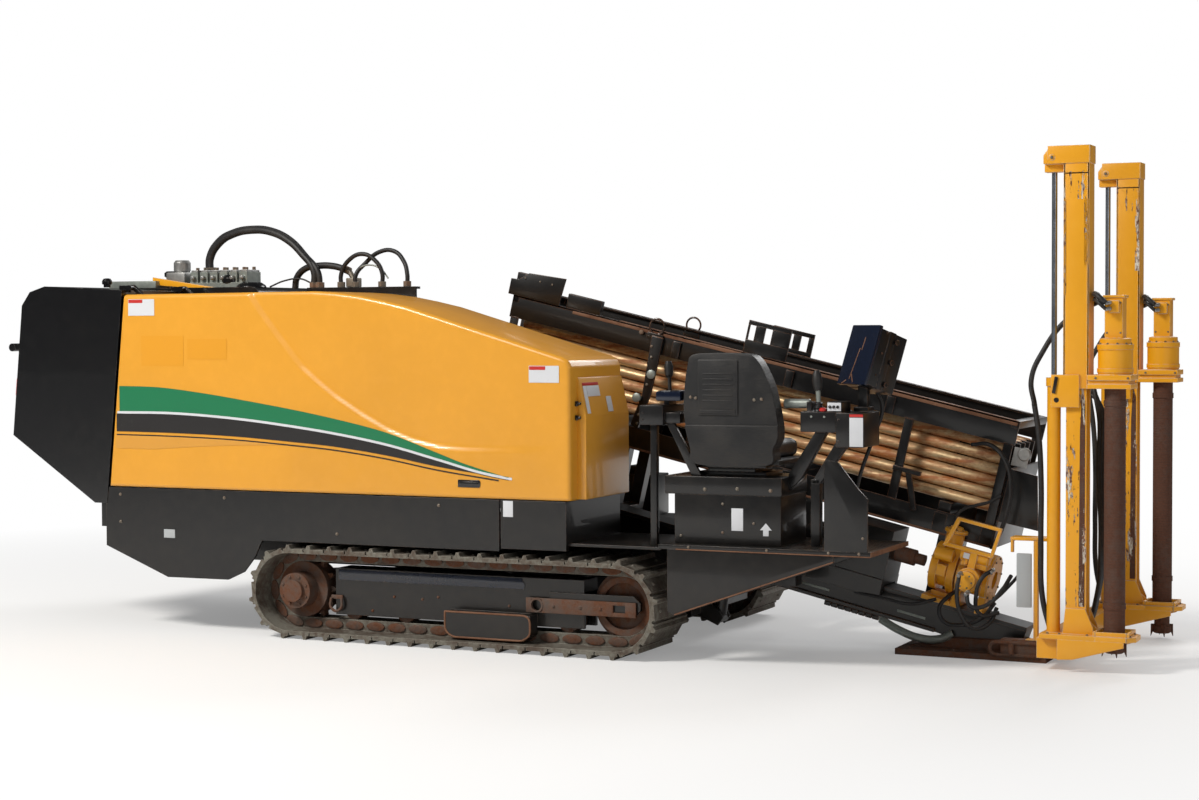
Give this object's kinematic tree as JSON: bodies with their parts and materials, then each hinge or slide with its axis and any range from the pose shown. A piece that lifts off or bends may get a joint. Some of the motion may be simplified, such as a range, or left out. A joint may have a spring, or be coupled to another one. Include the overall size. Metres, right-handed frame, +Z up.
{
  "type": "horizontal directional drill",
  "caption": "Tracked drilling machine with a tipped rack of drill rods, a sliding rotary carriage, ground anchors at its nose and a side-facing operator's seat.",
  "frame": {"origin": "on the ground at the middle of the machine's box", "axes": "+X forward, towards the anchors; +Z up; the operator is on the -Y side"},
  "size_m": [6.6, 2.06, 2.651],
  "materials": {
    "yellow_paint": "worn orange-yellow enamel",
    "anchor_paint": "chipped yellow enamel, rusty in the chips",
    "black_paint": "satin black, scratched",
    "gloss_black": "gloss black",
    "rack_paint": "black, rust-brown along the edges",
    "track_steel": "muddy worn steel",
    "rusty_steel": "brown rust",
    "rod_steel": "worn steel with orange rust",
    "chrome": "polished",
    "hose_rubber": "black braided hose",
    "seat_plastic": "moulded black",
    "seat_vinyl": "black vinyl",
    "grey_steel": "greenish grey",
    "aluminium": "dull"
  },
  "bodies": {
    "chassis": {"track_near": "track_steel", "track_far": "track_steel", "sprocket_near": "rusty_steel", "sprocket_far": "rusty_steel", "idler_near": "rusty_steel", "idler_far": "rusty_steel", "side_frame_near": "black_paint", "side_frame_far": "black_paint", "rollers_near": "rusty_steel", "rollers_far": "rusty_steel", "chassis_frame": "black_paint", "tow_eye": "black_paint", "side_skirt_rear": "black_paint", "side_skirt_front": "black_paint", "rear_box": "gloss_black", "rear_grille": "black_paint", "cooler_core": "aluminium", "engine_block": "grey_steel", "oil_tank": "black_paint", "fuel_tank": "black_paint", "mud_pump": "yellow_paint", "valve_bank": "grey_steel", "hose_bulkhead": "black_paint", "arch_hose": "hose_rubber", "deck_hoses": "hose_rubber", "operator_platform": "black_paint", "seat_box": "black_paint", "seat_shell": "seat_plastic", "seat_cushion": "seat_vinyl", "back_cushion": "seat_vinyl", "left_console": "black_paint", "right_console": "black_paint", "display_box": "black_paint"},
    "hood": {"hood": "yellow_paint"},
    "rack": {"drill_rail": "rack_paint", "rack_cradle": "rack_paint", "rod_box": "rack_paint", "drill_rods": "rod_steel", "front_vise": "yellow_paint", "ground_skid": "rusty_steel", "anchor_beam": "anchor_paint", "anchor_base_near": "anchor_paint", "anchor_base_far": "anchor_paint"},
    "carriage": {"drill_carriage": "black_paint"},
    "spindle": {"spindle": "rusty_steel"},
    "wrench": {"wrench": "yellow_paint"},
    "anchor_near": {"anchor_slide_near": "anchor_paint", "anchor_rod_near": "chrome"},
    "auger_near": {"anchor_auger_near": "rusty_steel"},
    "anchor_far": {"anchor_slide_far": "anchor_paint", "anchor_rod_far": "chrome"},
    "auger_far": {"anchor_auger_far": "rusty_steel"},
    "tilt_barrel": {"tilt_barrel": "black_paint"},
    "tilt_rod": {"tilt_rod": "chrome"}
  },
  "joints": [
    {"name": "hood_hinge", "type": "hinge", "parent": "chassis", "child": "hood", "pos_m": [-2.44, -0.6675, 1.99], "axis": [0, -1, 0], "range_deg": [0, 50]},
    {"name": "rack_tilt", "type": "hinge", "parent": "chassis", "child": "rack", "pos_m": [-0.60001, 0, 0.70001], "axis": [0, -1, 0], "range_deg": [0, 9]},
    {"name": "tilt_barrel_turn", "type": "hinge", "parent": "chassis", "child": "tilt_barrel", "pos_m": [0.99, -0.235, 0.15], "axis": [0, -1, 0], "range_deg": [0, 4.14]},
    {"name": "tilt_rod_slide", "type": "slide", "parent": "tilt_barrel", "child": "tilt_rod", "axis": [0.1549, 0, 0.9879], "range_m": [0, 0.25844]},
    {"name": "carriage_slide", "type": "slide", "parent": "rack", "child": "carriage", "axis": [-0.9736, 0, 0.2284], "range_m": [0, 3.1]},
    {"name": "spindle_turn", "type": "hinge", "parent": "carriage", "child": "spindle", "pos_m": [1.87088, 0, 0.53184], "axis": [0.9736, 0, -0.2284], "continuous": true},
    {"name": "wrench_turn", "type": "hinge", "parent": "rack", "child": "wrench", "pos_m": [2.2165, 0, 0.45077], "axis": [0.9736, 0, -0.2284], "range_deg": [0, 30]},
    {"name": "anchor_slide_near_down", "type": "slide", "parent": "rack", "child": "anchor_near", "axis": [0, 0, -1], "range_m": [0, 1]},
    {"name": "auger_turn_near", "type": "hinge", "parent": "anchor_near", "child": "auger_near", "pos_m": [3.18, -0.38, 1], "axis": [0, 0, -1], "continuous": true},
    {"name": "anchor_slide_far_down", "type": "slide", "parent": "rack", "child": "anchor_far", "axis": [0, 0, -1], "range_m": [0, 1]},
    {"name": "auger_turn_far", "type": "hinge", "parent": "anchor_far", "child": "auger_far", "pos_m": [3.18, 0.93, 1], "axis": [0, 0, -1], "continuous": true}
  ],
  "couplings": [
    {"joint": "tilt_barrel_turn", "follows": "rack_tilt", "ratio": 0.45892},
    {"joint": "tilt_rod_slide", "follows": "rack_tilt", "m_per_rad": 1.644}
  ]
}
